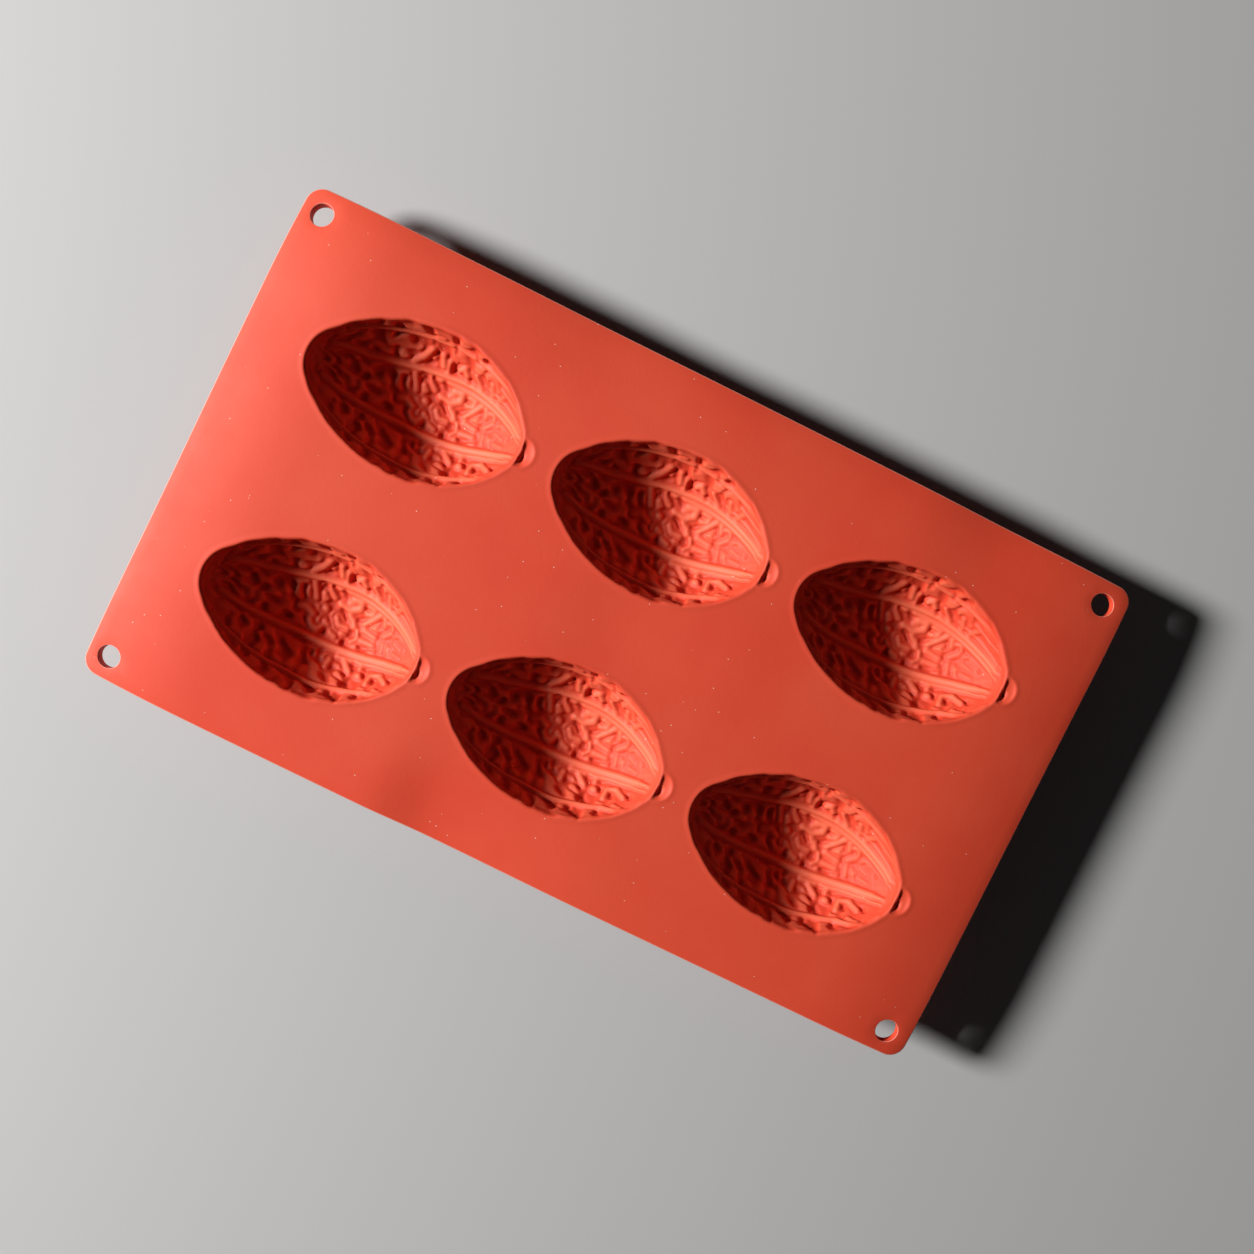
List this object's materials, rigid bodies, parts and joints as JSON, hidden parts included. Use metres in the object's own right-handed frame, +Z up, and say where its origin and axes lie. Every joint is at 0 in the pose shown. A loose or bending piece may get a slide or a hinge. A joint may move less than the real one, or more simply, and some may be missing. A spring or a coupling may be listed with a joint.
{
  "type": "silicone cocoa pod mould",
  "caption": "Flexible silicone baking mould: a thin rectangular sheet with corner holes and ribbed half-pod cavities with stem pockets hanging below it.",
  "frame": {"origin": "under the middle of the sheet, on the surface that the cups stand on", "axes": "+X along the sheet, from the pods' tips to their stems; +Y across the sheet; +Z up, out of the cavities"},
  "size_m": [0.3, 0.175, 0.0258],
  "materials": {
    "silicone": "satin"
  },
  "bodies": {
    "root": {"top_sheet": "silicone", "pod_cup_1": "silicone", "pod_cup_2": "silicone", "pod_cup_3": "silicone", "pod_cup_4": "silicone", "pod_cup_5": "silicone", "pod_cup_6": "silicone"}
  },
  "joints": []
}
